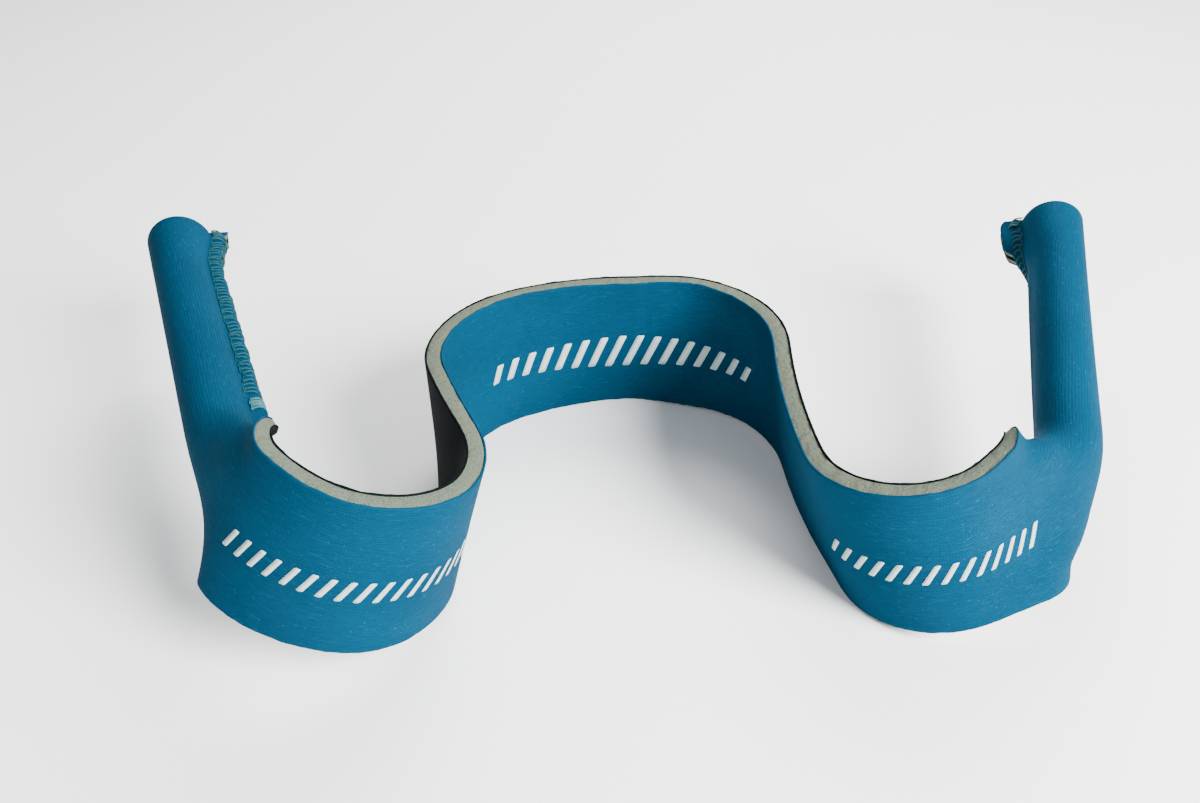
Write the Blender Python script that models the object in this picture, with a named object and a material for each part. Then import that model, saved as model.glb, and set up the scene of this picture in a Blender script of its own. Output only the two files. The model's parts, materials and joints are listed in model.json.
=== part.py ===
"""Eyeglass retainer strap: a neoprene strip, bent into a W and sewn into a sleeve at each end.

The strip is a laminate of three layers: a face cloth, a foam core and a lining cloth. It stands
on its long edge. Its two ends are rolled lengthwise, lining inwards, and their long edges are
sewn together in a fin, which makes a sleeve for each temple arm of a pair of glasses. It bends
at five places, so each layer is cut into six lengths there.

Metres, +Z up. The strip runs from the left sleeve's mouth to the right sleeve's mouth, and
places along it are distances from its middle, negative to the left. Each cross-section has its
own frame: "along" follows the strip to the right, "across" crosses its width upwards, and "out"
leaves its face cloth.
"""
import math

import bmesh
import bpy
import numpy as np
from mathutils import Matrix, Vector

# the laminate
bandWidth = 0.026
clothThickness = 0.00035
foamThickness = 0.0018
layerGap = 0.00025

# the sleeves, where the foam is stretched thinner, and their sewn fins
boreRadius = 0.0026
sleeveFoam = 0.0011
mouthFlare = 0.0011
mouthFlareLength = 0.016
finDepth = 0.0018
finFoam = 0.0005
finSlit = 0.0003
finRootRadius = 0.0016

# how the strip lies: stretches of (length in mm, bend in degrees, twist in degrees), from the
# middle outwards to each sleeve; a positive bend turns towards the face cloth, and a neck's
# last number lifts its sleeve by so many degrees
leftStretches = [(22, 25, -4), (28, 76, 0), (20, 7, 14), (14, -45, 7), (18, -68, 0), (16, -45, -8)]
rightStretches = [(10, 15, -6), (28, 76, 13), (28, -13, 8), (26, -110, -16), (12, 0, -14)]
leftNeck = (20, -15, 17, 0)
rightNeck = (20, -32.4, -12, 25)
leftSleeve = [(63, 0, 0)]
rightSleeve = [(62, 0, 30)]
leanAtMiddle = 1.9
slopeAtMiddle = 0.7
easing = 0.009

# the bend lines of the lobes, as places along the strip, and how far each bend turns
leftLobePlace = -0.094
rightLobePlace = 0.078
lobeTurn = (-10, 60)
neckTurn = (-25, 20)
middleTurn = (-15, 30)
turnMargin = 3
bendGap = 0.0003

# the overlock thread and the bartacks on each fin
threadRadius = 0.0003
sewnGap = 0.00025
stitchPitch = 0.004
seamEndMargin = 0.0030
bartackLength = 0.0016
bartackThickness = 0.0005

# the printed film on the face cloth
filmThickness = 0.00015
filmGap = 0.0002
lobeMarkHeight = 0.0036
middleMarkHeight = 0.0070
markDrop = 0.0015
leftMark = (-0.116, -0.072)
middleMark = (-0.030, 0.026)
rightMark = (0.068, 0.100)

# how finely the solids are divided
stationStep = 0.001
bandSpacing = 0.0022
neckSpacing = 0.0017
tubeSpacing = 0.0080
flareSpacing = 0.0040
arcParts = 7
rootParts = 2
pointsPerStitch = 8

faceColour = (0.010, 0.125, 0.230)
foamColour = (0.300, 0.340, 0.270)
liningColour = (0.012, 0.014, 0.016)
threadColour = (0.060, 0.300, 0.380)
filmColour = (0.720, 0.780, 0.760)


def material(name, colour, roughness):
    made = bpy.data.materials.new(name)
    made.use_nodes = True
    shader = made.node_tree.nodes["Principled BSDF"]
    shader.inputs["Base Color"].default_value = (*colour, 1.0)
    shader.inputs["Roughness"].default_value = roughness
    shader.inputs["Metallic"].default_value = 0.0
    return made


def smoothStep(value):
    value = min(max(value, 0.0), 1.0)
    return value * value * (3 - 2 * value)


def mix(low, high, share):
    return low + (high - low) * share


def sideLength(stretches):
    return sum(length for length, *turns in stretches) / 1000


leftNeckStart = -sideLength(leftStretches)
rightNeckStart = sideLength(rightStretches)
leftTubeStart = leftNeckStart - leftNeck[0] / 1000
rightTubeStart = rightNeckStart + rightNeck[0] / 1000
leftMouth = leftTubeStart - sideLength(leftSleeve)
rightMouth = rightTubeStart + sideLength(rightSleeve)


def easedRates(stretches):
    """The bend, the twist and the lift in radians at each step, eased where two stretches meet."""
    rates = []
    for length, *turns in stretches:
        steps = round(length / 1000 / stationStep)
        rates += [[math.radians(turn) / steps for turn in (*turns, 0)[:3]]] * steps
    reach = round(easing / stationStep) // 2
    weights = np.hanning(2 * reach + 3)[1:-1]
    weights /= weights.sum()
    return [[float(rate) for rate in np.convolve(np.pad(column, reach, mode="edge"), weights, "valid")]
            for column in np.transpose(rates)]


def walk(stretches, side):
    """Frames from the middle outwards; side is -1 to the left and 1 to the right."""
    along = Vector((1, 0, 0))
    across = Vector((0, 0, 1))
    lean = Matrix.Rotation(math.radians(leanAtMiddle), 3, along)
    slope = Matrix.Rotation(-math.radians(slopeAtMiddle), 3, (0, 1, 0))
    along = slope @ lean @ along
    across = slope @ lean @ across
    point = Vector((0, 0, 0))
    frames = [(point, along, across)]
    for bend, twist, lift in zip(*easedRates(stretches)):
        out = along.cross(across)
        turned = (along + (out * bend + across * lift) * side).normalized()
        across = (across + out * twist).normalized()
        across = (across - across.dot(turned) * turned).normalized()
        point = point + side * stationStep * (along + turned).normalized()
        along = turned
        frames.append((point, along, across))
    return frames


def stripFrames():
    left = walk([*leftStretches, leftNeck, *leftSleeve], -1)
    right = walk([*rightStretches, rightNeck, *rightSleeve], 1)
    return left[:0:-1] + right


frames = stripFrames()


def frameAt(place):
    """The strip's point, along, across and out at a place."""
    steps = (place - leftMouth) / stationStep
    index = min(max(int(steps), 0), len(frames) - 2)
    share = steps - index
    point, along, across = (low.lerp(high, share) for low, high in zip(frames[index], frames[index + 1]))
    along.normalize()
    across = (across - across.dot(along) * along).normalized()
    return point, along, across, along.cross(across)


def rollAt(place):
    """0 where the strip is flat, 1 where it is closed into a sleeve."""
    if place < 0:
        return smoothStep((leftNeckStart - place) / (leftNeckStart - leftTubeStart))
    return smoothStep((place - rightNeckStart) / (rightTubeStart - rightNeckStart))


def flareAt(place):
    depth = min(place - leftMouth, rightMouth - place)
    return smoothStep(1 - depth / mouthFlareLength)


class Section:
    """The curve of the foam's middle in the cross-section at a place, half of it by share 0 to 1.

    Closed, each half is an arc, a reverse curve at the fin's root, and the straight fin.
    """

    def __init__(self, place):
        self.frame = frameAt(place)
        self.roll = rollAt(place)
        self.radius = boreRadius + mouthFlare * flareAt(place) + clothThickness + layerGap + sleeveFoam / 2
        self.finHalf = finSlit / 2 + clothThickness + layerGap + finFoam / 2
        reach = (self.finHalf + finRootRadius) / (self.radius + finRootRadius)
        self.turn = math.pi - math.asin(reach)
        self.arcLength = self.radius * self.turn
        self.rootLength = finRootRadius * (self.turn - math.pi / 2)
        self.closedLength = self.arcLength + self.rootLength + finDepth
        halfLength = mix(bandWidth / 2, self.closedLength, self.roll)
        pieces = 400
        middles = (np.arange(pieces) + 0.5) / pieces
        angles = self.roll * self.closedAngle(middles)
        step = halfLength / pieces
        self.steps = np.linspace(0, 1, pieces + 1)
        self.acrossLine = np.concatenate([[0], np.cumsum(np.cos(angles)) * step])
        self.outLine = np.concatenate([[0], -np.cumsum(np.sin(angles)) * step])

    def closedAngle(self, share):
        places = [0, self.arcLength, self.arcLength + self.rootLength, self.closedLength]
        return np.interp(np.asarray(share) * self.closedLength, places,
                         [0, self.turn, math.pi / 2, math.pi / 2])

    def foamAt(self, share):
        places = [0, self.arcLength, self.arcLength + self.rootLength]
        closed = np.interp(abs(share) * self.closedLength, places, [sleeveFoam, sleeveFoam, finFoam])
        return mix(foamThickness, float(closed), self.roll)

    def halfShares(self):
        arc = self.arcLength / self.closedLength
        root = (self.arcLength + self.rootLength) / self.closedLength
        return [*np.linspace(0, arc, arcParts + 1), *np.linspace(arc, root, rootParts + 1)[1:], 1.0]

    def flatPoint(self, share, offset):
        """Across and out of a point at an offset from the foam's middle."""
        angle = self.roll * float(self.closedAngle(abs(share)))
        side = 1 if share >= 0 else -1
        acrossPart = float(np.interp(abs(share), self.steps, self.acrossLine)) + offset * math.sin(angle)
        outPart = float(np.interp(abs(share), self.steps, self.outLine)) + offset * math.cos(angle)
        return side * acrossPart, outPart

    def place(self, acrossPart, outPart, shift=0.0):
        point, along, across, out = self.frame
        return point + along * shift + across * acrossPart + out * outPart


def layerOffsets(layer, foam):
    """The inner and the outer face of a layer, as offsets from the foam's middle."""
    cloth = foam / 2 + layerGap
    film = cloth + clothThickness + filmGap
    return {
        "lining": (-cloth - clothThickness, -cloth),
        "foam": (-foam / 2, foam / 2),
        "face": (cloth, cloth + clothThickness),
        "film": (film, film + filmThickness),
    }[layer]


def notch(turns, closesFace):
    """Half angles of a bend line's notch, on the face side and on the lining side."""
    opening, closing = (abs(turn) / 2 + turnMargin for turn in turns)
    return (closing, opening) if closesFace else (opening, closing)


# each bend line: its place along the strip, its two half angles, and its axis's sense
bendLines = {
    "left_neck": (leftNeckStart, notch(neckTurn, True), 1),
    "left_lobe": (leftLobePlace, notch(lobeTurn, True), 1),
    "middle": (0.0, notch(middleTurn, False), 1),
    "right_lobe": (rightLobePlace, notch(lobeTurn, True), -1),
    "right_neck": (rightNeckStart, notch(neckTurn, True), -1),
}


def notchShift(place, offset):
    """How far a layer's end stands back from a bend line, at an offset from the foam's middle."""
    for linePlace, halfAngles, sense in bendLines.values():
        if abs(place - linePlace) < 1e-9:
            angle = halfAngles[0] if offset > 0 else halfAngles[1]
            return bendGap / 2 + abs(offset) * math.tan(math.radians(angle))
    return 0.0


def stationPlaces(start, end):
    """Places from start to end, closer together where the strip bends, rolls or flares."""
    marks = sorted({start, end, *(place for place in (
        leftMouth + mouthFlareLength, leftTubeStart, leftNeckStart,
        rightNeckStart, rightTubeStart, rightMouth - mouthFlareLength) if start < place < end)})
    places = [start]
    for low, high in zip(marks, marks[1:]):
        middle = (low + high) / 2
        if flareAt(middle) > 0:
            spacing = flareSpacing
        elif rollAt(middle) == 1:
            spacing = tubeSpacing
        elif rollAt(middle) > 0:
            spacing = neckSpacing
        else:
            spacing = bandSpacing
        count = max(1, round((high - low) / spacing))
        places += [mix(low, high, (step + 1) / count) for step in range(count)]
    return places


def closedMesh(name, rings):
    """A solid through rings of points, each ring an outer row followed by an inner row."""
    mesh = bmesh.new()
    rows = [[mesh.verts.new(point) for point in ring] for ring in rings]
    size = len(rings[0])
    # both rows are split along the same diagonal, so that neighbouring layers stay parallel
    for low, high in zip(rows, rows[1:]):
        for index in range(size):
            after = (index + 1) % size
            corners = [low[index], low[after], high[after], high[index]]
            if index >= size // 2:
                corners = corners[1:] + corners[:1]
            mesh.faces.new((corners[0], corners[1], corners[2]))
            mesh.faces.new((corners[0], corners[2], corners[3]))
    for row in (rows[0], rows[-1]):
        for index in range(size // 2 - 1):
            mesh.faces.new((row[index], row[index + 1], row[size - 2 - index], row[size - 1 - index]))
    bmesh.ops.recalc_face_normals(mesh, faces=mesh.faces)
    made = bpy.data.meshes.new(name)
    mesh.to_mesh(made)
    mesh.free()
    made.shade_smooth()
    made.set_sharp_from_angle(angle=math.radians(35))
    return made


def layerMesh(name, layer, start, end, shareRange=None):
    """A length of one layer between two places, over its whole width or a range of shares."""
    rings = []
    for place in stationPlaces(start, end):
        section = Section(place)
        if shareRange:
            shares = list(shareRange)
        elif max(rollAt(start), rollAt(end)) > 0:
            half = section.halfShares()
            shares = [-share for share in half[:0:-1]] + half
        else:
            shares = [-1.0, 1.0]
        inward = 1 if place == start else -1 if place == end else 0
        rows = [[], []]
        for share in shares:
            inner, outer = layerOffsets(layer, section.foamAt(share))
            for row, offset in zip(rows, (outer, inner)):
                shift = inward * notchShift(place, offset)
                row.append(section.place(*section.flatPoint(share, offset), shift))
        rings.append(rows[0] + rows[1][::-1])
    return closedMesh(name, rings)


def finOutline(section, clearance):
    """The fin's outline at a clearance: its root, its two edges and its other root, across and out."""
    half = section.finHalf + layerOffsets("face", finFoam)[1] + clearance
    edge = section.flatPoint(1.0, 0.0)[1]
    root = edge + finDepth
    return [(half, root), (half, edge - clearance), (-half, edge - clearance), (-half, root)]


def alongOutline(outline, share):
    """The point at a share of the length of an outline."""
    points = [Vector(point) for point in outline]
    lengths = [(after - point).length for point, after in zip(points, points[1:])]
    distance = share * sum(lengths)
    for point, after, length in zip(points, points[1:], lengths):
        if distance <= length:
            return point.lerp(after, distance / length)
        distance -= length
    return points[-1]


def seamThread(name, tubeStart, mouth):
    """The overlock thread: it swings from one side of the fin round its edge to the other."""
    outwards = 1 if mouth > tubeStart else -1
    margin = seamEndMargin + bartackLength + 2 * sewnGap
    start = tubeStart + outwards * margin
    end = mouth - outwards * margin
    stitches = round(abs(end - start) / stitchPitch)
    points = []
    for step in range(stitches * pointsPerStitch + 1):
        phase = step / pointsPerStitch
        swing = abs(2 * (phase % 1) - 1)
        section = Section(mix(start, end, step / (stitches * pointsPerStitch)))
        spot = alongOutline(finOutline(section, sewnGap + threadRadius), swing)
        points.append(section.place(*spot))
    curve = bpy.data.curves.new(name, "CURVE")
    curve.dimensions = "3D"
    curve.bevel_depth = threadRadius
    curve.bevel_resolution = 1
    curve.use_fill_caps = True
    spline = curve.splines.new("POLY")
    spline.points.add(len(points) - 1)
    for target, point in zip(spline.points, points):
        target.co = (*point, 1)
    return curve


def bartackMesh(name, start, end):
    """A dense block of stitches bent round the fin's edge."""
    rings = []
    for place in (start, end):
        section = Section(place)
        outer = finOutline(section, sewnGap + bartackThickness)
        inner = finOutline(section, sewnGap)
        rings.append([section.place(*spot) for spot in outer + inner[::-1]])
    return closedMesh(name, rings)


def markShares(height):
    return tuple((side * height / 2 - markDrop) / (bandWidth / 2) for side in (-1, 1))


def build():
    for thing in list(bpy.data.objects):
        bpy.data.objects.remove(thing)
    finishes = {
        "face": material("face jersey", faceColour, 0.85),
        "foam": material("foam", foamColour, 0.95),
        "lining": material("lining jersey", liningColour, 0.9),
        "thread": material("seam thread", threadColour, 0.5),
        "film": material("printed film", filmColour, 0.45),
    }
    axes = {"left_inner_band": None}
    parents = {
        "left_outer_band": ("left_inner_band", "left_lobe"),
        "left_sleeve": ("left_outer_band", "left_neck"),
        "right_inner_band": ("left_inner_band", "middle"),
        "right_outer_band": ("right_inner_band", "right_lobe"),
        "right_sleeve": ("right_outer_band", "right_neck"),
    }
    spans = {
        "left_sleeve": (leftMouth, leftNeckStart),
        "left_outer_band": (leftNeckStart, leftLobePlace),
        "left_inner_band": (leftLobePlace, 0.0),
        "right_inner_band": (0.0, rightLobePlace),
        "right_outer_band": (rightLobePlace, rightNeckStart),
        "right_sleeve": (rightNeckStart, rightMouth),
    }
    # an empty on each bend line's axis carries the body beyond it
    root = bpy.data.objects.new("strap_frame", None)
    bpy.context.scene.collection.objects.link(root)
    axes["left_inner_band"] = (root, Matrix.Identity(4))
    for body, (parent, line) in parents.items():
        place, halfAngles, sense = bendLines[line]
        point, along, across, out = frameAt(place)
        axis = across * sense
        stance = Matrix((along, axis.cross(along), axis)).transposed().to_4x4()
        stance.translation = point
        empty = bpy.data.objects.new(line + "_axis", None)
        bpy.context.scene.collection.objects.link(empty)
        empty.parent = axes[parent][0]
        empty.matrix_local = axes[parent][1].inverted() @ stance
        axes[body] = (empty, stance)

    def add(name, data, finish, body):
        piece = bpy.data.objects.new(name, data)
        bpy.context.scene.collection.objects.link(piece)
        carrier, stance = axes[body]
        piece.parent = carrier
        data.transform(stance.inverted())
        data.materials.append(finishes[finish])
        return piece

    for body, (start, end) in spans.items():
        for layer in ("face", "foam", "lining"):
            name = body + "_" + layer
            add(name, layerMesh(name, layer, start, end), layer, body)

    sleeves = (("left", leftTubeStart, leftMouth), ("right", rightTubeStart, rightMouth))
    for side, tubeStart, mouth in sleeves:
        body = side + "_sleeve"
        outwards = 1 if mouth > tubeStart else -1
        name = side + "_seam_thread"
        add(name, seamThread(name, tubeStart, mouth), "thread", body)
        neckEnd = tubeStart + outwards * seamEndMargin
        mouthEnd = mouth - outwards * seamEndMargin
        for end, place, inwards in (("neck", neckEnd, outwards), ("mouth", mouthEnd, -outwards)):
            name = side + "_" + end + "_bartack"
            add(name, bartackMesh(name, place, place + inwards * bartackLength), "thread", body)

    films = {
        "left_outer_mark": ("left_outer_band", leftMark[0], leftLobePlace, lobeMarkHeight),
        "left_inner_mark": ("left_inner_band", leftLobePlace, leftMark[1], lobeMarkHeight),
        "middle_left_mark": ("left_inner_band", middleMark[0], 0.0, middleMarkHeight),
        "middle_right_mark": ("right_inner_band", 0.0, middleMark[1], middleMarkHeight),
        "right_inner_mark": ("right_inner_band", rightMark[0], rightLobePlace, lobeMarkHeight),
        "right_outer_mark": ("right_outer_band", rightLobePlace, rightMark[1], lobeMarkHeight),
    }
    for name, (body, start, end, height) in films.items():
        add(name, layerMesh(name, "film", start, end, markShares(height)), "film", body)

    # the strap stands on its lowest edge, centred over the origin
    bpy.context.view_layer.update()
    points = [thing.matrix_world @ vertex.co for thing in bpy.data.objects
              if thing.type == "MESH" for vertex in thing.data.vertices]
    low = [min(point[axis] for point in points) for axis in range(3)]
    high = [max(point[axis] for point in points) for axis in range(3)]
    root.location = (-(low[0] + high[0]) / 2, -(low[1] + high[1]) / 2, -low[2])


build()
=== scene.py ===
import json
import math

import bpy
import numpy as np
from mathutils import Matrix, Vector


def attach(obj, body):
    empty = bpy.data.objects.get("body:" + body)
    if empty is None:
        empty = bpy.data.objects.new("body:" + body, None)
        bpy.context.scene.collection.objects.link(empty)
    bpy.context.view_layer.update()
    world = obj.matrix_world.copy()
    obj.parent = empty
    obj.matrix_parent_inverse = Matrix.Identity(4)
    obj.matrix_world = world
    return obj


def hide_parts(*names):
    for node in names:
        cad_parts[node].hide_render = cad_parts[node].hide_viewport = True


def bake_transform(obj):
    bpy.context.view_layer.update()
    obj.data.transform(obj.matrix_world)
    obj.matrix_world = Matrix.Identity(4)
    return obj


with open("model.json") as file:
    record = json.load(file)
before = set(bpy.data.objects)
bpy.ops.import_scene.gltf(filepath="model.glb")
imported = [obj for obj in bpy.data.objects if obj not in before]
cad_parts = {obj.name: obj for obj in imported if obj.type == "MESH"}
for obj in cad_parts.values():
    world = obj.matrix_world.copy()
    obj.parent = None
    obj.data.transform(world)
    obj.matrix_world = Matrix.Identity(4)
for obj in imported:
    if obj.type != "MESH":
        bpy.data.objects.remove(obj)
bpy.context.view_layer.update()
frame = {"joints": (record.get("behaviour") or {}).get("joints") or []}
joints = {joint["name"]: joint for joint in frame["joints"]}
middlePoint = np.array(joints["middle_bend"]["pos_m"])
print("frame loaded")

camera = {
    "place": (-0.0066, -0.1595),  # from the strip's middle, seen from above
    "height": 0.1146,
    "pitch": 36.0,  # degrees below the horizon
    "lens": 29.46,
    "clipStart": 0.005,
}


def makeCamera():
    data = bpy.data.cameras.new("camera")
    data.lens = camera["lens"]
    data.clip_start = camera["clipStart"]
    made = bpy.data.objects.new("camera", data)
    bpy.context.scene.collection.objects.link(made)
    made.location = (*(middlePoint[:2] + camera["place"]), camera["height"])
    made.rotation_euler = (math.radians(90 - camera["pitch"]), 0, 0)
    bpy.context.scene.camera = made


studio = {
    "keyPlace": (0.40, -0.32, 0.34),
    "keyWide": 0.34,
    "keyPower": 18.5,
    "fillPlace": (-0.10, -0.50, 0.22),
    "fillWide": 0.40,
    "fillPower": 0.8,
    "backPlace": (0.08, 0.40, 0.42),
    "backWide": 0.40,
    "backPower": 5.0,
    "worldColour": (0.95, 0.98, 1.0),
    "worldStrength": 0.44,
    "floorColour": (0.97, 0.975, 0.975),
    "floorRoughness": 0.9,
    "floorWide": 6.0,
}


def areaLight(name, place, wide, power):
    data = bpy.data.lights.new(name, "AREA")
    data.shape = "DISK"
    data.size = wide
    data.energy = power
    made = bpy.data.objects.new(name, data)
    bpy.context.scene.collection.objects.link(made)
    made.location = place
    made.rotation_euler = (-Vector(place)).to_track_quat("-Z", "Y").to_euler()


def makeStudio():
    for name in ("key", "fill", "back"):
        areaLight(name, studio[name + "Place"], studio[name + "Wide"], studio[name + "Power"])
    world = bpy.data.worlds.new("studio")
    world.use_nodes = True
    background = world.node_tree.nodes["Background"]
    background.inputs["Color"].default_value = (*studio["worldColour"], 1)
    background.inputs["Strength"].default_value = studio["worldStrength"]
    bpy.context.scene.world = world
    half = studio["floorWide"] / 2
    mesh = bpy.data.meshes.new("floor")
    corners = [(-half, -half, 0), (half, -half, 0), (half, half, 0), (-half, half, 0)]
    mesh.from_pydata(corners, [], [(0, 1, 2, 3)])
    floor = bpy.data.objects.new("floor", mesh)
    bpy.context.scene.collection.objects.link(floor)
    paper = bpy.data.materials.new("paper")
    paper.use_nodes = True
    shader = paper.node_tree.nodes["Principled BSDF"]
    shader.inputs["Base Color"].default_value = (*studio["floorColour"], 1)
    shader.inputs["Roughness"].default_value = studio["floorRoughness"]
    mesh.materials.append(paper)


makeCamera()
makeStudio()
print("camera, lights and floor made")

# The strip runs from the left sleeve's mouth to the right one's. Places along it are distances
# from its middle; a stretch is (length in mm, bend, twist and lift in degrees), as in the solids.
lie = {
    "step": 0.00025,
    "easing": 0.009,
    "leftStretches": [(22, 25, -4), (28, 76, 0), (20, 7, 14), (14, -45, 7), (18, -68, 0), (16, -45, -8)],
    "rightStretches": [(10, 15, -6), (28, 76, 13), (28, -13, 8), (26, -110, -16), (12, 0, -14)],
    "leftNeck": (20, -15, 17, 0),
    "rightNeck": (20, -32.4, -12, 25),
    "leftSleeve": [(63, 0, 0)],
    "rightSleeve": [(62, 0, 30)],
    "leanAtMiddle": 1.9,
    "slopeAtMiddle": 0.7,
}

laminate = {
    "bandWidth": 0.026,
    "bandFoamHalf": 0.00112,  # half the foam's thickness, and the cloth's outer side from the foam's middle
    "bandClothOut": 0.00150,
    "sleeveFoamHalf": 0.00075,
    "sleeveClothOut": 0.00115,
    "finFoamHalf": 0.00048,
    "finClothOut": 0.00085,
    "sleeveRadius": 0.00375,  # of the foam's middle, round the bore
    "mouthFlare": 0.0011,
    "mouthFlareLength": 0.016,
    "mouthCurl": 0.0005,  # the rim draws in a little at its very end
    "mouthCurlLength": 0.0030,
    "finHalf": 0.0010,
    "finDepth": 0.0018,
    "finRootRadius": 0.0016,
    "finPivot": 0.17,  # a leaning fin turns this far inside the end of the sleeve's arc, in root radii
    "rimRound": 0.00025,
    "rimRoundLength": 0.0006,
}

# Where a seam ends, the trimmed fin gives way to the strip's untrimmed edge. A lip is how far that
# stands out, over what length it dies away, and how far ahead of the rest the edge rolls in.
lips = {
    "leftUpper": (0.0004, 0.004, 0.0045),
    "leftLower": (0.0, 0.010, 0.0),
    "rightUpper": (0.0025, 0.010, 0.007),
    "rightLower": (0.0, 0.010, 0.004),
    "rollFrom": 0.4,  # the share of the half width where an edge starts to roll ahead
    "rollOver": 0.3,
    "growFrom": 0.82,  # the share of the half width beyond which it is stretched
    "growPower": 1.5,
}

# How far the fin's corner sticks out at a mouth, over what length, and how fast it ends.
flaps = {
    "leftMouth": (0.0020, 0.0026, 0.0026),
    "rightMouth": (0.0017, 0.0095, 0.0020),
    "rightLean": -75.0,  # the right fin lies over to its lower side between its ends
    "rightLeanEnds": (0.005, 0.016),
    "rightLeanRoll": 0.6,  # and only where the strip is rolled up more than this
}


def smoothStep(value):
    value = np.clip(value, 0.0, 1.0)
    return value * value * (3 - 2 * value)


def mix(low, high, share):
    return low + (high - low) * share


def unit(vector):
    return vector / np.linalg.norm(vector)


def sideLength(stretches):
    return sum(length for length, *turns in stretches) / 1000


leftNeckStart = -sideLength(lie["leftStretches"])
rightNeckStart = sideLength(lie["rightStretches"])
leftTubeStart = leftNeckStart - lie["leftNeck"][0] / 1000
rightTubeStart = rightNeckStart + lie["rightNeck"][0] / 1000
leftMouth = leftTubeStart - sideLength(lie["leftSleeve"])
rightMouth = rightTubeStart + sideLength(lie["rightSleeve"])


def easedRates(stretches):
    rates = []
    for length, *turns in stretches:
        steps = round(length / 1000 / lie["step"])
        rates += [[math.radians(turn) / steps for turn in (*turns, 0)[:3]]] * steps
    reach = round(lie["easing"] / lie["step"]) // 2
    weights = np.hanning(2 * reach + 3)[1:-1]
    weights /= weights.sum()
    padded = (np.pad(column, reach, mode="edge") for column in np.transpose(rates))
    return [np.convolve(column, weights, "valid") for column in padded]


def tipped(vector, axis, degrees):
    angle = math.radians(degrees)
    turned = vector * math.cos(angle) + np.cross(axis, vector) * math.sin(angle)
    return turned + axis * (axis @ vector) * (1 - math.cos(angle))


def walk(stretches, side):
    east = np.array((1.0, 0.0, 0.0))
    north = np.array((0.0, 1.0, 0.0))
    along = tipped(east, north, -lie["slopeAtMiddle"])
    leaning = tipped(np.array((0.0, 0.0, 1.0)), east, lie["leanAtMiddle"])
    across = tipped(leaning, north, -lie["slopeAtMiddle"])
    point = middlePoint.copy()
    rows = [(point, along, across)]
    for bend, twist, lift in zip(*easedRates(stretches)):
        out = np.cross(along, across)
        turned = unit(along + (out * bend + across * lift) * side)
        across = unit(across + out * twist)
        across = unit(across - across @ turned * turned)
        point = point + side * lie["step"] * unit(along + turned)
        along = turned
        rows.append((point, along, across))
    return rows


shareSteps = 240  # columns of each table for half the width


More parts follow.
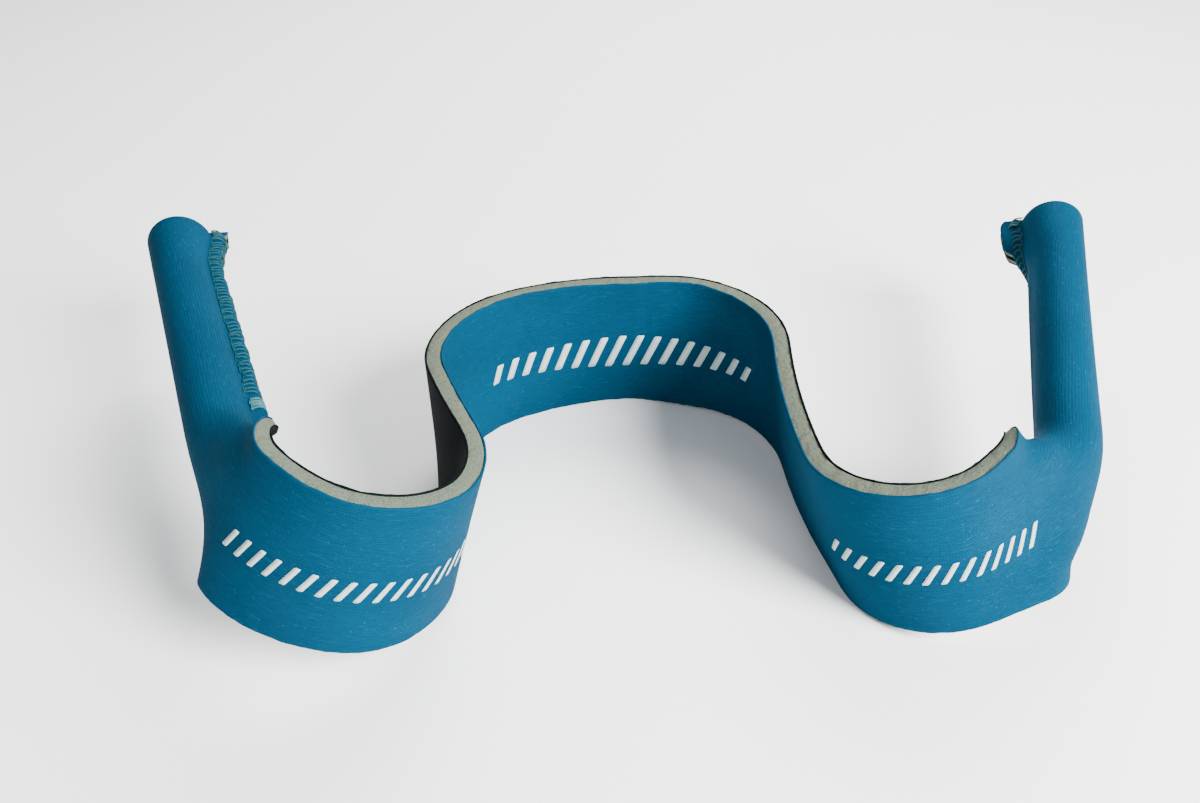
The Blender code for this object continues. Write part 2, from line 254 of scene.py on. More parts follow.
class Strip:
    # The whole strip as tables, one row for each place and one column for each share of the half
    # width, from -1 at the lower edge to 1 at the upper one, read by interpolation.
    def __init__(self):
        left = walk([*lie["leftStretches"], lie["leftNeck"], *lie["leftSleeve"]], -1)
        right = walk([*lie["rightStretches"], lie["rightNeck"], *lie["rightSleeve"]], 1)
        rows = left[:0:-1] + right
        self.points, self.alongs, self.acrosses = (np.array([row[i] for row in rows]) for i in range(3))
        self.places = leftMouth + lie["step"] * np.arange(len(rows))
        self.makeRows()
        halves = [self.half(name) for name in ("Lower", "Upper")]
        tables = []
        for (lower, upper), sign in zip(zip(*halves), (-1, 1, -1, -1, 1)):
            tables.append(np.hstack([lower[:, :0:-1] * sign, upper]))
        self.lengths, self.outLines, self.acrossLines, self.angles, self.finShares = tables

    def makeRows(self):
        place = self.places
        self.roll = np.where(
            place < 0,
            smoothStep((leftNeckStart - place) / (leftNeckStart - leftTubeStart)),
            smoothStep((place - rightNeckStart) / (rightTubeStart - rightNeckStart)))
        depth = np.minimum(place - leftMouth, rightMouth - place)
        flare = laminate["mouthFlare"] * smoothStep(1 - depth / laminate["mouthFlareLength"])
        curl = laminate["mouthCurl"] * np.clip(1 - depth / laminate["mouthCurlLength"], 0, 1) ** 2
        near = np.clip(1 - depth / laminate["rimRoundLength"], 0, 1)
        self.rim = laminate["rimRound"] * (1 - np.sqrt(1 - near ** 2))
        radius = laminate["sleeveRadius"] + flare - curl
        root = laminate["finRootRadius"]
        self.turn = math.pi - np.arcsin((laminate["finHalf"] + root) / (radius + root))
        self.arcLength = radius * self.turn
        self.rootLength = root * (self.turn - math.pi / 2)
        self.closedHalf = self.arcLength + self.rootLength + laminate["finDepth"]
        flaring = ((flaps["leftMouth"], place - leftMouth), (flaps["rightMouth"], rightMouth - place))
        self.flap = sum(
            reach * smoothStep((length - distance) / drop) for (reach, length, drop), distance in flaring)
        ends = flaps["rightLeanEnds"]
        lean = smoothStep((rightMouth - place - ends[0]) / (ends[1] - ends[0])) * (place > 0)
        rolled = (self.roll - flaps["rightLeanRoll"]) / (1 - flaps["rightLeanRoll"])
        self.leans = np.radians(flaps["rightLean"]) * lean * smoothStep(rolled)
        bowl = radius * (1 - np.cos(self.turn))
        self.pivots = -bowl + laminate["finPivot"] * root
        self.seamEdges = -bowl + root * np.cos(self.turn) - laminate["finDepth"]

    def half(self, name):
        place = self.places
        both = zip(lips["left" + name], lips["right" + name])
        stepOut, fade, ahead = (np.where(place < 0, left, right) for left, right in both)
        past = np.where(place < 0, place - leftTubeStart, rightTubeStart - place)
        neck = np.where(place < 0, leftNeckStart - leftTubeStart, rightTubeStart - rightNeckStart)
        edgeRoll = smoothStep(1 - (past - ahead) / neck)
        extra = stepOut * (past > 0) * smoothStep(1 - past / fade) + self.flap
        share = np.linspace(0, 1, shareSteps + 1)[None, :]
        baseHalf = mix(laminate["bandWidth"] / 2, self.closedHalf, self.roll)[:, None]
        grown = np.clip((share - lips["growFrom"]) / (1 - lips["growFrom"]), 0, 1) ** lips["growPower"]
        lengths = baseHalf * share + extra[:, None] * grown
        arcLength = self.arcLength[:, None]
        spots = share * self.closedHalf[:, None]
        rootShare = np.clip((spots - arcLength) / self.rootLength[:, None], 0, 1)
        turn = self.turn[:, None]
        closedAngle = turn * np.clip(spots / arcLength, 0, 1) - (turn - math.pi / 2) * rootShare
        edgeShare = smoothStep((share - lips["rollFrom"]) / lips["rollOver"])
        angles = closedAngle * mix(self.roll[:, None], edgeRoll[:, None], edgeShare)
        middles = (angles[:, 1:] + angles[:, :-1]) / 2
        pieces = np.diff(lengths, axis=1)
        nothing = np.zeros((len(place), 1))
        acrossLines = np.hstack([nothing, np.cumsum(np.cos(middles) * pieces, axis=1)])
        outLines = np.hstack([nothing, -np.cumsum(np.sin(middles) * pieces, axis=1)])
        return lengths, outLines, acrossLines, angles, rootShare

    def read(self, table, place, share=None):
        row = np.clip((place - leftMouth) / lie["step"], 0, len(self.places) - 1.001)
        low = row.astype(int)
        rowShare = row - low
        if share is None:
            if table.ndim == 2:
                rowShare = rowShare[..., None]
            return mix(table[low], table[low + 1], rowShare)
        column = np.clip((share + 1) * shareSteps, 0, 2 * shareSteps - 0.001)
        left = column.astype(int)
        columnShare = column - left
        lower = mix(table[low, left], table[low, left + 1], columnShare)
        upper = mix(table[low + 1, left], table[low + 1, left + 1], columnShare)
        return mix(lower, upper, rowShare)

    def axes(self, place):
        along = self.read(self.alongs, place)
        across = self.read(self.acrosses, place)
        return self.read(self.points, place), along, across, np.cross(along, across)

    def thickness(self, place, share, band, sleeve, fin):
        closed = mix(sleeve, fin, self.read(self.finShares, place, share))
        return mix(band, closed, self.read(self.roll, place))

    def foamHalf(self, place, share):
        return self.thickness(
            place, share, laminate["bandFoamHalf"], laminate["sleeveFoamHalf"], laminate["finFoamHalf"])

    def clothOut(self, place, share):
        return self.thickness(
            place, share, laminate["bandClothOut"], laminate["sleeveClothOut"], laminate["finClothOut"])

    def leaned(self, place, weight, acrossPart, outPart):
        angle = self.read(self.leans, place) * weight
        pivot = self.read(self.pivots, place)
        cosine = np.cos(angle)
        sine = np.sin(angle)
        down = outPart - pivot
        return acrossPart * cosine - down * sine, pivot + acrossPart * sine + down * cosine

    def stand(self, place, acrossPart, outPart):
        centre, along, across, out = self.axes(place)
        return centre + across * acrossPart[..., None] + out * outPart[..., None]

    # a point at an offset from the foam's middle, and a distance beyond the edge
    def point(self, place, share, offset, beyond=0.0):
        place, share, offset, beyond = np.broadcast_arrays(place, share, offset, beyond)
        angle = self.read(self.angles, place, share)
        past = beyond * np.sign(share)
        sine, cosine = np.sin(angle), np.cos(angle)
        acrossPart = self.read(self.acrossLines, place, share) + offset * sine + past * cosine
        outPart = self.read(self.outLines, place, share) + offset * cosine - past * sine
        weight = self.read(self.finShares, place, share)
        return self.stand(place, *self.leaned(place, weight, acrossPart, outPart))

    # a point beside a fin: down from the seam's edge to the bore, and sideways from the fin's middle
    def finPoint(self, place, down, sideways):
        place, down, sideways = np.broadcast_arrays(place, down, sideways)
        edge = self.read(self.seamEdges, place)
        return self.stand(place, *self.leaned(place, 1.0, -sideways, edge + down))


strip = Strip()
print("strip laid out:", round((rightMouth - leftMouth) * 1000), "mm from mouth to mouth")


class Wire:
    # a shader value that takes part in arithmetic; each operation adds its Math node
    def __init__(self, finish, socket):
        self.finish = finish
        self.socket = socket

    def math(self, operation, *values):
        return self.finish.add("ShaderNodeMath", {"operation": operation}, dict(enumerate(values)))

    def __add__(self, other):
        return self.math("ADD", self, other)

    def __mul__(self, other):
        return self.math("MULTIPLY", self, other)

    def __sub__(self, other):
        return self.math("SUBTRACT", self, other)

    def __rsub__(self, other):
        return self.math("SUBTRACT", other, self)

    def __abs__(self):
        return self.math("ABSOLUTE", self)

    __radd__ = __add__
    __rmul__ = __mul__

    def fraction(self):
        return self.math("FRACT", self)

    def cosine(self):
        return self.math("COSINE", self)

    def between(self, low, high):
        values = {"Value": self, "From Min": low, "From Max": high}
        return self.finish.add("ShaderNodeMapRange", {"clamp": True}, values)


class Finish:
    # a Principled material; constants go straight on its shader's sockets
    def __init__(self, name, **constants):
        self.material = bpy.data.materials.new(name)
        self.material.use_nodes = True
        self.nodes = self.material.node_tree.nodes
        self.links = self.material.node_tree.links
        self.shader = self.nodes["Principled BSDF"]
        for key, value in constants.items():
            self.shader.inputs[key.replace("_", " ")].default_value = value

    def add(self, kind, settings, values, output=0):
        node = self.nodes.new(kind)
        for key, value in settings.items():
            setattr(node, key, value)
        for key, value in values.items():
            self.join(value, node.inputs[key])
        return Wire(self, node.outputs[output])

    def join(self, value, socket):
        if isinstance(value, Wire):
            self.links.new(value.socket, socket)
        else:
            socket.default_value = value

    def feed(self, **values):
        for key, value in values.items():
            self.join(value, self.shader.inputs[key.replace("_", " ")])

    def parts(self, vector):
        node = self.nodes.new("ShaderNodeSeparateXYZ")
        self.links.new(vector.socket, node.inputs[0])
        return [Wire(self, socket) for socket in node.outputs]

    def vector(self, x, y, z=0.0):
        return self.add("ShaderNodeCombineXYZ", {}, {"X": x, "Y": y, "Z": z})

    # places along and across the strip, in mm
    def stripPlace(self):
        return self.parts(self.add("ShaderNodeUVMap", {"uv_map": "strip"}, {}))[:2]

    def millimetres(self):
        place = self.add("ShaderNodeTexCoord", {}, {}, "Object")
        return self.add("ShaderNodeVectorMath", {"operation": "SCALE"}, {0: place, "Scale": 1000.0})

    def noise(self, vector, scale, detail=2.0, rough=0.5):
        values = {"Vector": vector, "Scale": scale, "Detail": detail, "Roughness": rough}
        return self.add("ShaderNodeTexNoise", {}, values)

    def colours(self, share, low, high):
        return self.blendColours(share, (*low, 1.0), (*high, 1.0))

    def blendColours(self, share, low, high, mode="MIX"):
        settings = {"data_type": "RGBA", "blend_type": mode}
        return self.add("ShaderNodeMix", settings, {"Factor": share, 6: low, 7: high}, 2)

    def bump(self, height, strength, distance):
        values = {"Height": height, "Strength": strength, "Distance": distance}
        return self.add("ShaderNodeBump", {}, values)


jersey = {
    "walePitch": 0.37,  # mm between the ribs, which run along the strip
    "coursePitch": 0.40,
    "bumpDepth": 0.00003,
    "bumpStrength": 0.75,
    "ribWander": 0.35,
    # each grain's scale along and across the strip, its own offset, its detail and its roughness
    "wander": (0.12, 0.30, 0.0, 2.0, 0.5),
    "yarn": (0.55, 3.2, 0.0, 3.0, 0.6),
    "slub": (0.28, 2.4, 7.0, 2.0, 0.5),
    "cloud": (0.05, 0.09, 3.0, 3.0, 0.5),
    "speck": (1.5, 2.0, 11.0, 1.0, 0.5),
}


def knitFinish(name, dark, plain, light, **constants):
    finish = Finish(name, **constants)
    along, across = finish.stripPlace()

    def grain(kind):
        alongScale, acrossScale, offset, detail, rough = jersey[kind]
        spot = finish.vector(along * alongScale, across * acrossScale, offset)
        return finish.noise(spot, 1.0, detail, rough)

    strayed = across + grain("wander") * jersey["ribWander"]
    rib = abs((strayed * (1 / jersey["walePitch"])).fraction() - 0.5)
    ridge = 1 - rib * rib * 4
    loops = ((along * (1 / jersey["coursePitch"]) + rib * 1.5) * math.tau).cosine() * 0.5 + 0.5
    weave = ridge * (loops * 0.35 + 0.65)
    yarn = grain("yarn")
    slub = grain("slub").between(0.60, 0.78)
    cloud = grain("cloud")
    speck = grain("speck").between(0.66, 0.74)
    base = finish.colours(weave * 0.25 + yarn * 0.75, dark, plain)
    base = finish.blendColours(slub * 0.18 + speck * 0.25, base, (*light, 1.0))
    tone = finish.colours(cloud.between(0.3, 0.7), (0.86, 0.86, 0.88), (1.08, 1.06, 1.05))
    base = finish.blendColours(1.0, base, tone, "MULTIPLY")
    height = weave + yarn * 0.5 + slub * 0.4
    finish.feed(
        Base_Color=base,
        Roughness=(1 - weave) * 0.12 + 0.74,
        Normal=finish.bump(height, jersey["bumpStrength"], jersey["bumpDepth"]))
    return finish.material


foamLook = {
    "dark": (0.040, 0.051, 0.036),
    "light": (0.105, 0.128, 0.095),
    "pit": (0.024, 0.029, 0.021, 1.0),
    "aged": (0.120, 0.120, 0.075, 1.0),
    "cellScale": 4.2,  # scales are for a pattern in mm
    "pitScale": 1.6,
    "grainScale": 2.2,
    "cloudScale": 0.12,
    "bumpStrength": 0.8,
    "bumpDepth": 0.00014,
}


def foamFinish():
    finish = Finish("foamCut", Roughness=0.95, Specular_IOR_Level=0.25)
    spot = finish.millimetres()
    cells, big = (
        finish.add("ShaderNodeTexVoronoi", {"feature": "F1"}, {"Vector": spot, "Scale": foamLook[scale]})
        for scale in ("cellScale", "pitScale"))
    grain = finish.noise(spot, foamLook["grainScale"], 4.0, 0.65)
    cloud = finish.noise(spot, foamLook["cloudScale"], 2.0)
    pores = cells.between(0.05, 0.42)
    pits = big.between(0.04, 0.16)
    base = finish.colours(pores * 0.5 + grain * 0.5, foamLook["dark"], foamLook["light"])
    base = finish.blendColours((1 - pits) * 0.6, base, foamLook["pit"])
    base = finish.blendColours(cloud.between(0.35, 0.7) * 0.35, base, foamLook["aged"])
    height = pores + grain * 0.8 + pits * 0.8
    finish.feed(Base_Color=base, Normal=finish.bump(height, foamLook["bumpStrength"], foamLook["bumpDepth"]))
    return finish.material


threadLook = {
    "plies": (2.2, 1.7, 3.4),  # how the twist runs along each axis
    "plyScale": 1.6,
    "shadeScale": 0.8,
    "bumpStrength": 0.6,
    "bumpDepth": 0.00006,
}


def threadFinish(name, low, high):
    finish = Finish(name, Roughness=0.6, Specular_IOR_Level=0.12)
    spot = finish.millimetres()
    east, north, up = (part * rate for part, rate in zip(finish.parts(spot), threadLook["plies"]))
    ply = ((east + north + up) * threadLook["plyScale"]).fraction()
    strand = abs(ply - 0.5) * 2
    shade = finish.noise(spot, threadLook["shadeScale"], 2.0)
    base = finish.colours(strand * 0.55 + shade * 0.45, low, high)
    finish.feed(Base_Color=base, Normal=finish.bump(strand, threadLook["bumpStrength"], threadLook["bumpDepth"]))
    return finish.material


filmLook = {
    "plain": (0.34, 0.42, 0.41),
    "light": (0.44, 0.52, 0.50),
    "worn": (0.16, 0.28, 0.31, 1.0),
    "grainScale": 3.0,
    "wearScale": 0.9,
    "bumpStrength": 0.45,
    "bumpDepth": 0.00007,
}


def filmFinish():
    finish = Finish("markFilm", Specular_IOR_Level=0.45)
    spot = finish.millimetres()
    grain = finish.noise(spot, filmLook["grainScale"], 3.0, 0.6)
    wear = finish.noise(spot, filmLook["wearScale"], 4.0, 0.7).between(0.60, 0.72)
    across = finish.stripPlace()[1]
    rib = abs((across * (1 / jersey["walePitch"])).fraction() - 0.5)
    base = finish.colours(grain, filmLook["plain"], filmLook["light"])
    base = finish.blendColours(wear * 0.35, base, filmLook["worn"])
    finish.feed(
        Base_Color=base,
        Roughness=grain * 0.2 + 0.42,
        Normal=finish.bump(
            (1 - rib * rib * 4) + grain * 0.6, filmLook["bumpStrength"], filmLook["bumpDepth"]))
    return finish.material


finishes = {
    "face": knitFinish(
        "faceJersey", (0.0005, 0.021, 0.045), (0.0009, 0.047, 0.094), (0.002, 0.115, 0.190),
        Sheen_Weight=0.01, Sheen_Roughness=0.45, Sheen_Tint=(0.1, 0.7, 1.0, 1.0), Specular_IOR_Level=0.03),
    "lining": knitFinish(
        "liningJersey", (0.0006, 0.0018, 0.0022), (0.0015, 0.0050, 0.0062), (0.005, 0.012, 0.014),
        Specular_IOR_Level=0.03),
    "foam": foamFinish(),
    "thread": threadFinish("overlockThread", (0.001, 0.028, 0.042), (0.016, 0.085, 0.100)),
    # the same thread painted lighter: a painted highlight for the two bartacks that catch the light
    "bright": threadFinish("paintedHighlightThread", (0.006, 0.060, 0.078), (0.060, 0.175, 0.185)),
    "film": filmFinish(),
}
print("finishes made")

# Five lengths of strip, each with one bend in it. They meet at the cuts, where the strip is rigid
# with one body. Each lists its bend's place and a reach before and after it.
cuts = {"leftOuter": -0.106, "leftInner": -0.062, "rightInner": 0.044, "rightOuter": 0.091}
lengths = {
    "leftNeck": {
        "ends": (leftMouth, cuts["leftOuter"]), "bodies": ("left_sleeve", "left_outer_band"),
        "bend": leftNeckStart, "reach": 0.009},
    "leftLobe": {
        "ends": (cuts["leftOuter"], cuts["leftInner"]), "bodies": ("left_outer_band", "left_inner_band"),
        "bend": -0.094, "reach": 0.009},
    "middle": {
        "ends": (cuts["leftInner"], cuts["rightInner"]), "bodies": ("left_inner_band", "right_inner_band"),
        "bend": 0.0, "reach": 0.014},
    "rightLobe": {
        "ends": (cuts["rightInner"], cuts["rightOuter"]), "bodies": ("right_inner_band", "right_outer_band"),
        "bend": 0.078, "reach": 0.009},
    "rightNeck": {
        "ends": (cuts["rightOuter"], rightMouth), "bodies": ("right_outer_band", "right_sleeve"),
        "bend": rightNeckStart, "reach": 0.009},
}
layers = {
    "clothStep": 0.0006,
    "foamStep": 0.0003,
    "clothShares": 41,  # points from one edge of the cloth to its middle
    "foamShares": 25,
    "closerAtEdges": 0.35,
    "clothLevels": 5,  # rows through the thickness, with both sides
    "foamLevels": 11,
    "rimRings": (0.00003, 0.0001, 0.0002, 0.00035),  # extra rings where a rim is rounded over
    "sharpAngle": 50,
    "clothOver": 0.00006,  # how far the cloth's cut edge stands past the foam's
    "clothFray": 0.00010,
    "frayLengths": (0.0007, 0.0023),
    "frayShare": 0.6,
    "fraySeeds": {"face": 31, "lining": 47},
    "clothRound": 0.00012,
    "foamBulge": 0.00010,
    "foamRough": 0.00007,
    "foamRoughSeed": 21,
    "foamWave": 0.00008,
    "foamWaveLength": 0.0011,
    "foamWaveSeed": 5,
}


def wander(place, length, seed):
    # smooth random values from -1 to 1 along the strip
    knots = np.random.default_rng(seed).uniform(-1, 1, int(0.5 / length) + 8)
    spot = (np.asarray(place) - leftMouth) / length + 2
    low = np.clip(np.floor(spot).astype(int), 0, len(knots) - 2)
    return mix(knots[low], knots[low + 1], smoothStep(spot - low))


def shareList(count, closerAtEdges):
    half = np.linspace(0, 1, count)
    half = mix(half, np.sin(half * math.pi / 2), closerAtEdges)
    return np.concatenate([-half[:0:-1], half])


def closedShell(name, grid, alongEach, acrossEach, rowLength, edgeRows):
    # grid holds rings of points: outer row, edge rows, inner row, edge rows
    rings, size = grid.shape[:2]
    index = np.arange(rings * size).reshape(rings, size)
    after = np.roll(index, -1, axis=1)
    quads = np.stack([index[:-1], after[:-1], after[1:], index[1:]], axis=-1).reshape(-1, 4).tolist()
    inner = [rowLength + edgeRows + rowLength - 1 - k for k in range(rowLength)]
    for row, turnedRound in ((index[0], True), (index[-1], False)):
        caps = [[row[k], row[k + 1], row[inner[k + 1]], row[inner[k]]] for k in range(rowLength - 1)]
        caps.append([row[k] for k in range(rowLength - 1, rowLength + edgeRows + 1)])
        caps.append([row[k % size] for k in range(size - edgeRows - 1, size + 1)])
        quads += [[int(k) for k in (cap[::-1] if turnedRound else cap)] for cap in caps]
    mesh = bpy.data.meshes.new(name)
    mesh.from_pydata(grid.reshape(-1, 3).tolist(), [], quads)
    uv = mesh.uv_layers.new(name="strip")
    corners = np.zeros(len(mesh.loops), int)
    mesh.loops.foreach_get("vertex_index", corners)
    flat = np.stack([alongEach.reshape(-1), acrossEach.reshape(-1)], axis=1) * 1000
    uv.data.foreach_set("uv", flat[corners].astype(np.float32).ravel())
    mesh.shade_smooth()
    mesh.set_sharp_from_angle(angle=math.radians(layers["sharpAngle"]))
    mesh.validate()
    return mesh


def layerGrid(low, high, layer):
    isFoam = layer == "foam"
    count = round((high - low) / layers["foamStep" if isFoam else "clothStep"]) + 1
    places = np.linspace(low, high, count)
    close = np.array(layers["rimRings"])
    if low == leftMouth:
        places = np.sort(np.concatenate([places, low + close]))
    if high == rightMouth:
        places = np.sort(np.concatenate([places, high - close]))
    shares = shareList(layers["foamShares" if isFoam else "clothShares"], layers["closerAtEdges"])
    # levels go through the layer's thickness, from 1 outside to 0 inside
    levels = np.linspace(1, 0, layers["foamLevels" if isFoam else "clothLevels"])[1:-1]
    ringShares = np.concatenate([shares, np.ones(len(levels)), shares[::-1], -np.ones(len(levels))])
    one = np.ones(len(shares))
    ringLevels = np.concatenate([one, levels, one * 0, levels[::-1]])
    place = places[:, None] + np.zeros_like(ringShares)[None, :]
    share = ringShares[None, :] + np.zeros_like(place)
    level = ringLevels[None, :] + np.zeros_like(place)
    foam = strip.foamHalf(place, share)
    cloth = strip.clothOut(place, share) - strip.read(strip.rim, place)
    inside, outside = {"face": (foam, cloth), "foam": (-foam, foam), "lining": (-cloth, -foam)}[layer]
    offset = mix(inside, outside, level)
    atEdge = abs(share) > 0.9999
    rounded = 1 - (2 * level - 1) ** 2
    if isFoam:
        rng = np.random.default_rng(layers["foamRoughSeed"])
        wave = wander(place, layers["foamWaveLength"], layers["foamWaveSeed"]) * layers["foamWave"]
        rough = rng.uniform(-1, 1, place.shape) * layers["foamRough"] + wave
        beyond = layers["foamBulge"] * rounded + rough * (rounded > 0.01)
    else:
        seed = layers["fraySeeds"][layer]
        fine, coarse = layers["frayLengths"]
        part = layers["frayShare"]
        fray = wander(place, fine, seed) * part + wander(place, coarse, seed + 1) * part
        beyond = layers["clothOver"] + fray * layers["clothFray"] + layers["clothRound"] * np.sqrt(rounded)
    grid = strip.point(place, share, offset, np.where(atEdge, beyond, 0.0))
    girth = strip.read(strip.lengths, place, share)
    return grid, place, girth, len(shares), len(levels)


def addPiece(name, mesh, finish):
    piece = bpy.data.objects.new(name, mesh)
    bpy.context.scene.collection.objects.link(piece)
    mesh.materials.clear()
    mesh.materials.append(finishes[finish])
    return piece


def bendWith(piece, length):
    reach = lengths[length]["reach"]
    centre, along = strip.axes(np.array([lengths[length]["bend"]]))[:2]
    centre[0] - along[0] * reach
    centre[0] + along[0] * reach
    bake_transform(piece)


for length, row in lengths.items():
    bodyA, bodyB = row["bodies"]
    for layer in ("face", "foam", "lining"):
        name = length + layer.capitalize()
        piece = addPiece(name, closedShell(name, *layerGrid(*row["ends"], layer)), layer)
        bendWith(piece, length)
        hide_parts(bodyA + "_" + layer, bodyB + "_" + layer)
    print(length, "layers made")


class Tree:
    # a geometry node tree; its inputs are named, and each add makes one node
    def __init__(self, name, **inputs):
        self.group = bpy.data.node_groups.new(name, "GeometryNodeTree")
        face = self.group.interface
        face.new_socket("Geometry", in_out="OUTPUT", socket_type="NodeSocketGeometry")
        self.identifiers = {}
        for key, value in inputs.items():
            kind = "NodeSocketInt" if isinstance(value, int) else "NodeSocketFloat"
            socket = face.new_socket(key, in_out="INPUT", socket_type=kind)
            socket.default_value = value
            self.identifiers[key] = socket.identifier
        self.given = self.group.nodes.new("NodeGroupInput").outputs

    def add(self, kind, settings, values, output=0):
        node = self.group.nodes.new(kind)
        for key, value in settings.items():
            setattr(node, key, value)
        for key, value in values.items():
            for each in value if isinstance(value, list) else [value]:
                self.join(each, node.inputs[key])
        return node.outputs[output]

    def join(self, value, socket):
        if isinstance(value, bpy.types.NodeSocket):
            self.group.links.new(value, socket)
        else:
            socket.default_value = value

    def math(self, operation, *values):
        return self.add("ShaderNodeMath", {"operation": operation}, dict(enumerate(values)))

    def vector(self, x=0.0, y=0.0, z=0.0):
        return self.add("ShaderNodeCombineXYZ", {}, {"X": x, "Y": y, "Z": z})

    def random(self, low, high, seed):
        settings = {"data_type": "FLOAT_VECTOR"}
        return self.add("FunctionNodeRandomValue", settings, {"Min": low, "Max": high, "Seed": seed})

    # realises the copies, gives them their finish and ends the tree
    def end(self, geometry, finish):
        real = self.add("GeometryNodeRealizeInstances", {}, {"Geometry": geometry})
        smooth = self.add("GeometryNodeSetShadeSmooth", {}, {"Geometry": real, "Shade Smooth": True})
        done = self.add("GeometryNodeSetMaterial", {}, {"Geometry": smooth, "Material": finishes[finish]})
        self.group.links.new(done, self.group.nodes.new("NodeGroupOutput").inputs[0])

    def grow(self, name, values):
        host = bpy.data.objects.new(name, bpy.data.meshes.new(name))
        bpy.context.scene.collection.objects.link(host)
        modifier = host.modifiers.new("grow", "NODES")
        modifier.node_group = self.group
        for key, value in values.items():
            modifier[self.identifiers[key]] = value
        seen = host.evaluated_get(bpy.context.evaluated_depsgraph_get())
        mesh = bpy.data.meshes.new_from_object(seen)
        host.modifiers.remove(modifier)
        bpy.data.objects.remove(host)
        return mesh


stitchShape = {
    "archPoints": 18,
    "linkPoints": 6,
    "threadSides": 7,
    "archSpread": 1.55,  # the arch's handles, as a share of Side
    "linkSpread": 1.12,
    "linkStart": (-0.15, 0.2),  # where a link and its first handle start, in mm
    "linkOver": 0.15,  # how far it runs past the next stitch
    "linkHandle": 0.7,
    "linkSag": 0.25,
    "jogs": ((-0.14, -0.10, -0.02), (0.14, 0.12, 0.02)),
    "turns": ((-0.03, -0.05, -0.22), (0.03, 0.05, 0.22)),
    "sizes": ((0.9, 0.86, 0.98), (1.15, 1.12, 1.06)),
}


# One overlock stitch arches over the fin's edge and another thread links it to the next on each side.
# The flat row runs along x; y goes down from the fin's edge and z sideways from its middle, in mm.
def stitchTree(name, finish):
    tree = Tree(
        name, Count=10, Pitch=1.0, Leg=2.0, Side=1.0, Lift=1.2, Slant=0.3, Radius=0.16, Link=0.1, Seed=1)
    given = tree.given
    leg, side, slant, radius = (given[key] for key in ("Leg", "Side", "Slant", "Radius"))
    minusSide = tree.math("MULTIPLY", side, -1.0)
    minusSlant = tree.math("MULTIPLY", slant, -1.0)
    lift = tree.math("MULTIPLY", given["Lift"], -1.0)
    wide = tree.math("MULTIPLY", side, stitchShape["archSpread"])
    minusWide = tree.math("MULTIPLY", side, -stitchShape["archSpread"])
    arch = tree.add("GeometryNodeCurvePrimitiveBezierSegment", {}, {
        "Resolution": stitchShape["archPoints"],
        "Start": tree.vector(minusSlant, leg, side),
        "Start Handle": tree.vector(minusSlant, lift, wide),
        "End Handle": tree.vector(slant, lift, minusWide),
        "End": tree.vector(slant, leg, minusSide)})
    curves = [arch]
    first, firstHandle = stitchShape["linkStart"]
    reach = tree.math("ADD", given["Pitch"], stitchShape["linkOver"])
    nearEnd = tree.math("MULTIPLY", reach, stitchShape["linkHandle"])
    low = tree.math("ADD", leg, stitchShape["linkSag"])
    for across in (side, minusSide):
        spread = tree.math("MULTIPLY", across, stitchShape["linkSpread"])
        curves.append(tree.add("GeometryNodeCurvePrimitiveBezierSegment", {}, {
            "Resolution": stitchShape["linkPoints"],
            "Start": tree.vector(first, leg, across),
            "Start Handle": tree.vector(firstHandle, low, spread),
            "End Handle": tree.vector(nearEnd, low, across),
            "End": tree.vector(reach, leg, across)}))
    tubes = []
    for curve, thick in zip(curves, (radius, given["Link"], given["Link"])):
        circle = tree.add("GeometryNodeCurvePrimitiveCircle", {}, {
            "Resolution": stitchShape["threadSides"], "Radius": thick})
        tubes.append(tree.add(
            "GeometryNodeCurveToMesh", {}, {"Curve": curve, "Profile Curve": circle, "Fill Caps": True}))
    stitch = tree.add("GeometryNodeJoinGeometry", {}, {"Geometry": tubes})
    line = tree.add("GeometryNodeMeshLine", {"mode": "OFFSET"}, {
        "Count": given["Count"], "Offset": tree.vector(given["Pitch"])})
    seed = given["Seed"]
    jogs = tree.random(*stitchShape["jogs"], seed)
    moved = tree.add("GeometryNodeSetPosition", {}, {"Geometry": line, "Offset": jogs})
    turns = tree.random(*stitchShape["turns"], tree.math("ADD", seed, 5))
    sizes = tree.random(*stitchShape["sizes"], tree.math("ADD", seed, 9))
    copies = tree.add("GeometryNodeInstanceOnPoints", {}, {
        "Points": moved, "Instance": stitch, "Rotation": turns, "Scale": sizes})
    tree.end(copies, finish)
    return tree


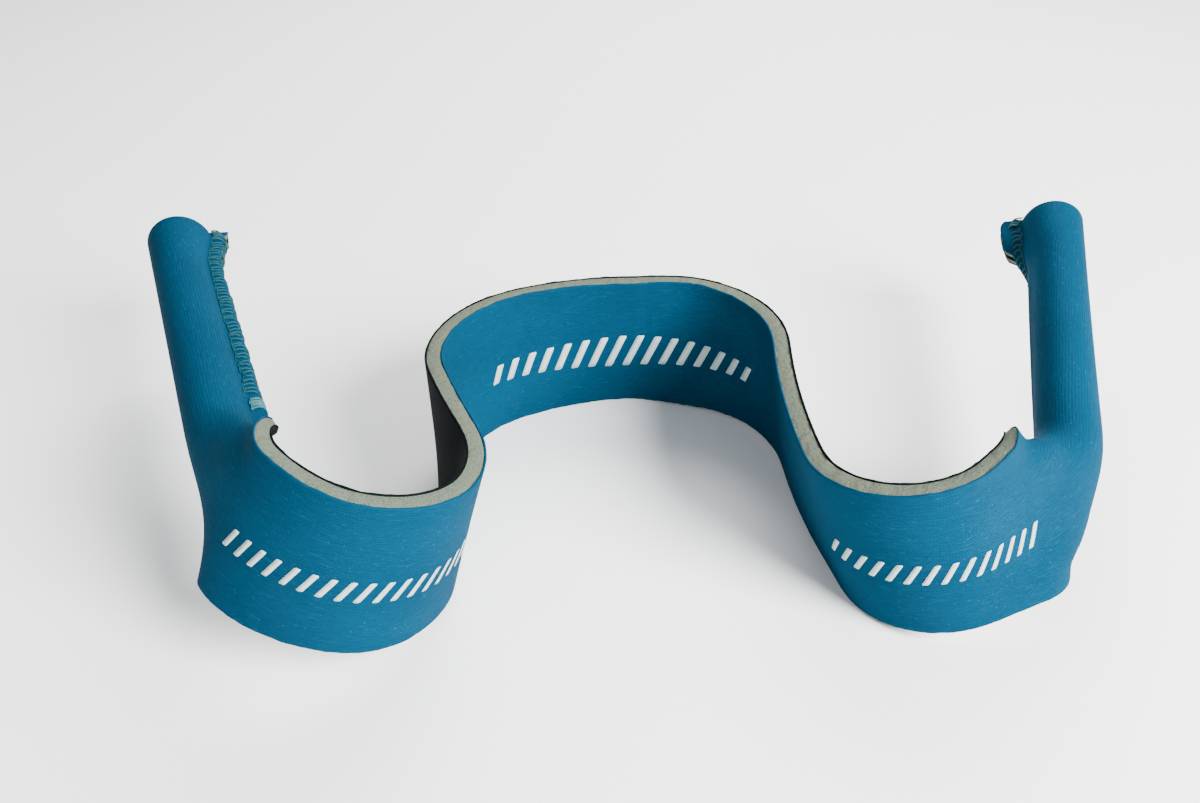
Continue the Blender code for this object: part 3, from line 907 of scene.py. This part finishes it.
# A row of plain slanted bars with rounded corners, taller towards the row's middle.
def barTree(name, finish):
    tree = Tree(name, Count=5, Pitch=2.0, Wide=1.0, Tall=3.6, Grow=0.0, Slant=0.4, Film=0.06, Corner=0.2)
    given = tree.given
    outline = tree.add("GeometryNodeCurvePrimitiveQuadrilateral", {}, {
        "Width": given["Wide"], "Height": given["Tall"]})
    soft = tree.add("GeometryNodeFilletCurve", {"mode": "POLY"}, {
        "Curve": outline, "Radius": given["Corner"], "Count": 4, "Limit Radius": True})
    close = tree.add("GeometryNodeResampleCurve", {"mode": "LENGTH"}, {"Curve": soft, "Length": 0.2})
    sheet = tree.add("GeometryNodeFillCurve", {"mode": "TRIANGLES"}, {"Curve": close})
    raised = tree.add("GeometryNodeExtrudeMesh", {"mode": "FACES"}, {
        "Mesh": sheet, "Offset Scale": given["Film"], "Individual": False})
    below = tree.add("GeometryNodeFlipFaces", {}, {"Mesh": sheet})
    bar = tree.add("GeometryNodeJoinGeometry", {}, {"Geometry": [raised, below]})
    bar = tree.add("GeometryNodeMergeByDistance", {}, {"Geometry": bar, "Distance": 0.001})
    line = tree.add("GeometryNodeMeshLine", {"mode": "OFFSET"}, {
        "Count": given["Count"], "Offset": tree.vector(given["Pitch"])})
    last = tree.math("SUBTRACT", given["Count"], 1)
    share = tree.math("DIVIDE", tree.add("GeometryNodeInputIndex", {}, {}), last)
    middle = tree.math("ABSOLUTE", tree.math("SUBTRACT", tree.math("MULTIPLY", share, 2.0), 1.0))
    taller = tree.math("MULTIPLY", tree.math("SUBTRACT", 1.0, middle), given["Grow"])
    sizes = tree.vector(1.0, tree.math("ADD", taller, 1.0), 1.0)
    copies = tree.add("GeometryNodeInstanceOnPoints", {}, {"Points": line, "Instance": bar, "Scale": sizes})
    real = tree.add("GeometryNodeRealizeInstances", {}, {"Geometry": copies})
    spot = tree.add("GeometryNodeInputPosition", {}, {})
    parts = tree.group.nodes.new("ShaderNodeSeparateXYZ")
    tree.group.links.new(spot, parts.inputs[0])
    sheared = tree.math("MULTIPLY", parts.outputs["Y"], given["Slant"])
    leaning = tree.add("GeometryNodeSetPosition", {}, {"Geometry": real, "Offset": tree.vector(sheared)})
    tree.end(leaning, finish)
    return tree


def flatPoints(mesh):
    points = np.zeros(len(mesh.vertices) * 3)
    mesh.vertices.foreach_get("co", points)
    return points.reshape(-1, 3) * 0.001


def moulded(mesh, points):
    mesh.vertices.foreach_set("co", points.astype(np.float32).ravel())
    mesh.update()
    return mesh


stitches = {
    "inset": 0.0030,  # from each end of the seam to its bartacks
    "row": {"Pitch": 1.15, "Leg": 1.6, "Lift": 1.3, "Slant": 0.3, "Radius": 0.13, "Link": 0.07},
    "tack": {"Pitch": 0.42, "Leg": 1.4, "Lift": 1.3, "Slant": 0.1, "Radius": 0.15, "Link": 0.07},
    "tackCount": 6,
    "tackSeed": 3,
    "tackIn": {"left": 0.0006, "right": 0.0004},  # from the seam's start to its first bartack
    "over": 0.00012,  # from the fin's cloth to the thread's middle
}
stitches["row"]["Side"] = (laminate["finHalf"] + laminate["finClothOut"] + stitches["over"]) * 1000
stitches["tack"]["Side"] = stitches["row"]["Side"]
overlock = stitchTree("overlockStitches", "thread")
tacks = {finish: stitchTree(finish + "Tack", finish) for finish in ("thread", "bright")}


def sewn(name, tree, values, start, finish, body, *nodes):
    mesh = tree.grow(name, values)
    points = flatPoints(mesh)
    points = strip.finPoint(start + points[:, 0], points[:, 1], points[:, 2])
    piece = addPiece(name, moulded(mesh, points), finish)
    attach(piece, body)
    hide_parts(*nodes)


# these two bartacks take the lighter copy of the thread finish, a painted highlight
paintedHighlightTacks = (("left", "neck"), ("right", "mouth"))
for side, low, high in (("left", leftMouth, leftTubeStart), ("right", rightTubeStart, rightMouth)):
    body = side + "_sleeve"
    row = stitches["row"]
    inset = stitches["inset"]
    count = int((high - low - 2 * inset) * 1000 / row["Pitch"])
    values = {"Count": count, "Seed": len(side), **row}
    sewn(side + "Overlock", overlock, values, low + inset, "thread", body, side + "_seam_thread")
    values = {"Count": stitches["tackCount"], "Seed": stitches["tackSeed"], **stitches["tack"]}
    reach = stitches["tackCount"] * stitches["tack"]["Pitch"] * 0.001
    starts = (low + stitches["tackIn"][side], high - reach)
    for end, start in zip(("mouth", "neck") if side == "left" else ("neck", "mouth"), starts):
        finish = "bright" if (side, end) in paintedHighlightTacks else "thread"
        name = side + end.capitalize() + "Tack"
        sewn(name, tacks[finish], values, start, finish, body, side + "_" + end + "_bartack")
print("stitches sewn")

bars = {
    "drop": 0.0015,  # the row's middle below the band's middle
    "film": 0.06,
    "lift": 0.00001,  # of the film above the cloth
    "lobe": {"Pitch": 2.3, "Wide": 0.85, "Tall": 3.6, "Grow": 0.0, "Slant": 0.45, "Corner": 0.18},
    "middle": {"Pitch": 3.5, "Wide": 1.5, "Tall": 3.6, "Grow": 0.95, "Slant": 0.45, "Corner": 0.25},
}
barRows = {
    "leftNeck": (-0.116, cuts["leftOuter"], "lobe", ("left_outer_mark",)),
    "leftLobe": (cuts["leftOuter"], -0.072, "lobe", ("left_outer_mark", "left_inner_mark")),
    "middle": (-0.030, 0.026, "middle", ("middle_left_mark", "middle_right_mark")),
    "rightLobe": (0.068, cuts["rightOuter"], "lobe", ("right_inner_mark", "right_outer_mark")),
    "rightNeck": (cuts["rightOuter"], 0.100, "lobe", ("right_outer_mark",)),
}
barMaker = barTree("slantedBars", "film")
for length, (low, high, kind, nodes) in barRows.items():
    pitch = bars[kind]["Pitch"] * 0.001
    count = round((high - low) / pitch)
    name = length + "Bars"
    mesh = barMaker.grow(name, {"Count": count, "Film": bars["film"], **bars[kind]})
    points = flatPoints(mesh)
    place = (low + high - (count - 1) * pitch) / 2 + points[:, 0]
    share = (points[:, 1] - bars["drop"]) / (laminate["bandWidth"] / 2)
    out = strip.clothOut(place, share) + points[:, 2] + bars["lift"]
    piece = addPiece(name, moulded(mesh, strip.point(place, share, out)), "film")
    bendWith(piece, length)
    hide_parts(*nodes)
print("bars printed")
